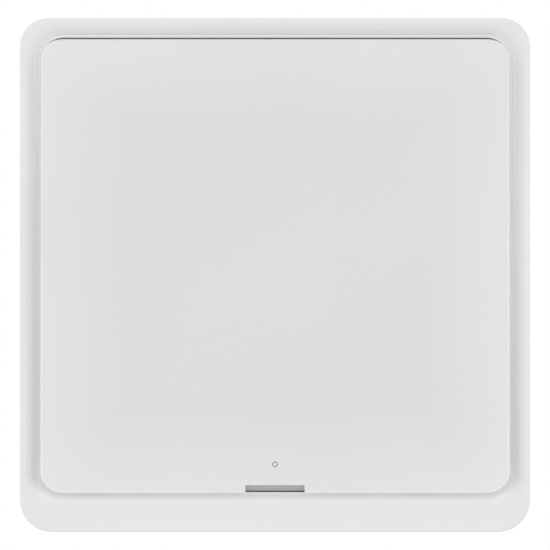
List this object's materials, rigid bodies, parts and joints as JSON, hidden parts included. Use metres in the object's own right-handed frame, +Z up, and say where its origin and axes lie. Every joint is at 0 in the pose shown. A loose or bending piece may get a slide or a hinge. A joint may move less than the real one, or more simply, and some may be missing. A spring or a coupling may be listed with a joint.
{
  "type": "smart wall button",
  "caption": "Square battery-powered wall button with one large rocking key in a dished frame, a pry notch and a pinhole status light at its lower edge.",
  "frame": {"origin": "centre of the wall plate's back face, on the wall", "axes": "+Y into the wall, -Y out of the front, +Z up, +X right as seen from the front"},
  "size_m": [0.086, 0.0131, 0.0866],
  "materials": {
    "frame_plastic": "satin white moulding",
    "key_plastic": "fine matt white moulding",
    "housing_plastic": "fine textured white moulding",
    "carrier_plastic": "satin off-white moulding",
    "pad_foam": "grey adhesive foam",
    "solder_mask": "green solder mask",
    "module_mask": "dark blue solder mask",
    "shield_steel": "tinned sheet steel",
    "gold_plating": "gold-plated copper",
    "switch_plastic": "black moulding",
    "plunger_plastic": "grey moulding",
    "led_lens": "milky lens on a white base",
    "ceramic_parts": "fired ceramic",
    "screw_steel": "zinc-plated steel",
    "cell_steel": "nickel-plated steel",
    "holder_plastic": "black moulding",
    "contact_steel": "plated spring steel",
    "damper_rubber": "grey silicone",
    "spring_steel": "stainless spring wire",
    "guide_clear": "clear polycarbonate"
  },
  "bodies": {
    "base": {"wall_plate": "housing_plastic", "adhesive_pads": "pad_foam", "back_housing": "housing_plastic", "outer_frame": "frame_plastic", "circuit_board": "solder_mask", "board_screws": "screw_steel", "board_passives": "ceramic_parts", "radio_module": "module_mask", "radio_shield": "shield_steel", "radio_aerial": "gold_plating", "tact_switch_body": "switch_plastic", "pairing_switch_body": "switch_plastic", "status_led": "led_lens", "coin_cell": "cell_steel", "battery_holder": "holder_plastic", "battery_positive_clip": "contact_steel", "battery_negative_contact": "contact_steel", "damper_pads": "damper_rubber", "return_spring_left": "spring_steel", "return_spring_right": "spring_steel"},
    "key_carrier": {"key_carrier": "carrier_plastic"},
    "key_cap": {"key_cap": "key_plastic", "light_guide": "guide_clear"},
    "tact_plunger": {"tact_plunger": "plunger_plastic"},
    "pairing_plunger": {"pairing_plunger": "plunger_plastic"}
  },
  "joints": [
    {"name": "key_press", "type": "hinge", "parent": "base", "child": "key_carrier", "pos_m": [0, -0.008, 0.0335], "axis": [1, 0, 0], "range_deg": [0, 0.7345], "stiffness_Nm_per_rad": 2.3, "springref_deg": -1.72, "deforming": ["return_spring_left", "return_spring_right"]},
    {"name": "cap_release", "type": "slide", "parent": "key_carrier", "child": "key_cap", "axis": [0, -0.9999, 0.0128], "range_m": [0, 0.018]},
    {"name": "tact_press", "type": "slide", "parent": "base", "child": "tact_plunger", "axis": [0, 1, 0], "range_m": [0, 0.0006]},
    {"name": "pairing_press", "type": "slide", "parent": "base", "child": "pairing_plunger", "axis": [0, 1, 0], "range_m": [0, 0.00025], "stiffness_N_per_m": 2000, "springref_m": -0.0005}
  ],
  "couplings": [
    {"joint": "tact_press", "follows": "key_press", "m_per_rad": 0.0435}
  ]
}
